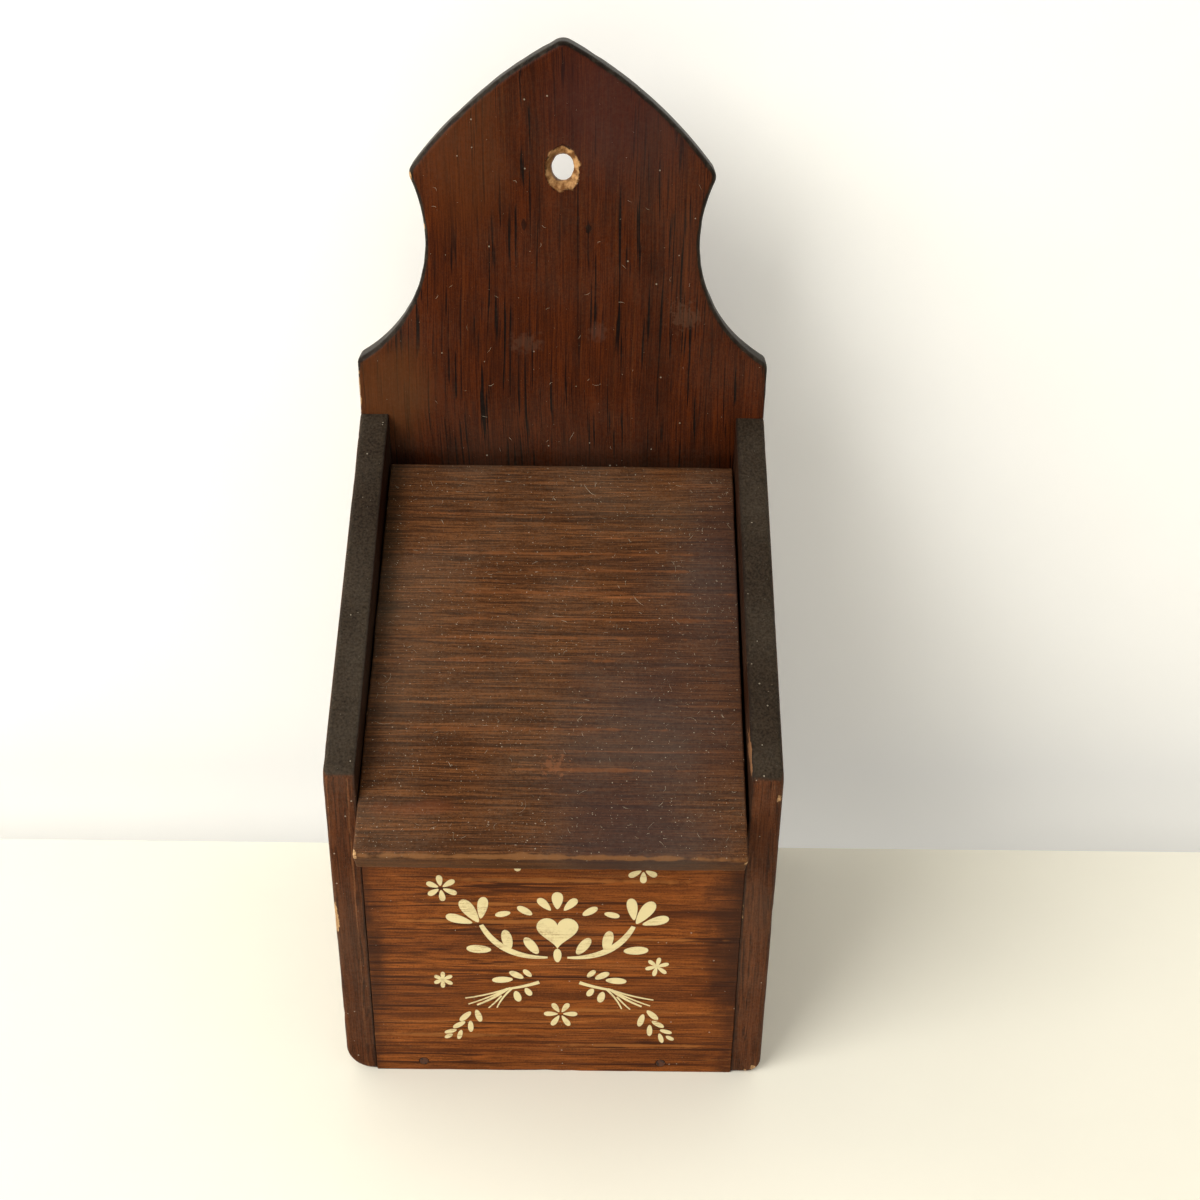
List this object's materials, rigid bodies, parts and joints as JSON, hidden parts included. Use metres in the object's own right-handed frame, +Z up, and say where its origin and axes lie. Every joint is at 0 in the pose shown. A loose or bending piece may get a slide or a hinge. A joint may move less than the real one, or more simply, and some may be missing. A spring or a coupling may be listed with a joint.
{
  "type": "salt box",
  "caption": "Wooden wall salt box with a pointed-arch back board, a hanging hole and a sloping front-lifting lid that turns on side nails.",
  "frame": {"origin": "middle of the foot: centre of the rectangle that the boards stand on, from the front face to the wall face", "axes": "+Z up along the back board, +Y towards the wall, +X to the right as seen from the front; the lid's lip overhangs towards -Y"},
  "size_m": [0.1424, 0.1383, 0.3159],
  "materials": {
    "back_wood": "dark stained, dusty",
    "side_wood": "dark stained, worn",
    "front_wood": "warm stain under old varnish",
    "bottom_wood": "bare, darkened",
    "lid_wood": "stained, greyed and scuffed",
    "nail_iron": "dark iron wire"
  },
  "bodies": {
    "box": {"back_board": "back_wood", "left_side": "side_wood", "right_side": "side_wood", "front_board": "front_wood", "bottom_board": "bottom_wood", "left_pivot_pin": "nail_iron", "right_pivot_pin": "nail_iron", "front_base_nails": "nail_iron", "left_side_front_nails": "nail_iron", "right_side_front_nails": "nail_iron", "back_to_left_side_nails": "nail_iron", "back_to_right_side_nails": "nail_iron", "back_to_bottom_nails": "nail_iron"},
    "lid": {"lid": "lid_wood"}
  },
  "joints": [
    {"name": "lid_hinge", "type": "hinge", "parent": "box", "child": "lid", "pos_m": [0, 0.044, 0.1705], "axis": [-1, 0, 0], "range_deg": [0, 122.8]}
  ]
}
